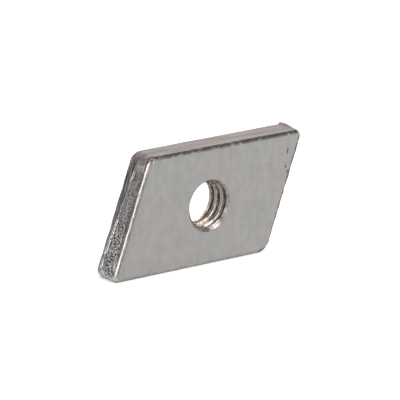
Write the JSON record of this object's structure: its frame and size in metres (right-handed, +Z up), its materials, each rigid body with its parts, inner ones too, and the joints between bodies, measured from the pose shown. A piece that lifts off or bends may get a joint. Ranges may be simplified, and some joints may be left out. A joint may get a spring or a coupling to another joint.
{
  "type": "t slot nut",
  "caption": "Slanted steel plate nut with a central threaded hole, which slides into a T-shaped slot and clamps a bolted part to it.",
  "frame": {"origin": "on the bottom long edge, straight under the hole's axis and half way through the thickness", "axes": "+X along the long edges, towards the side that the plate leans to; +Y through the thickness, from the front face to the back; +Z up across the plate's width"},
  "size_m": [0.0354, 0.0044, 0.018],
  "materials": {
    "plated_steel": "dull zinc plating over drawn steel, with rough sheared ends"
  },
  "bodies": {
    "root": {"nut_plate": "plated_steel"}
  },
  "joints": []
}
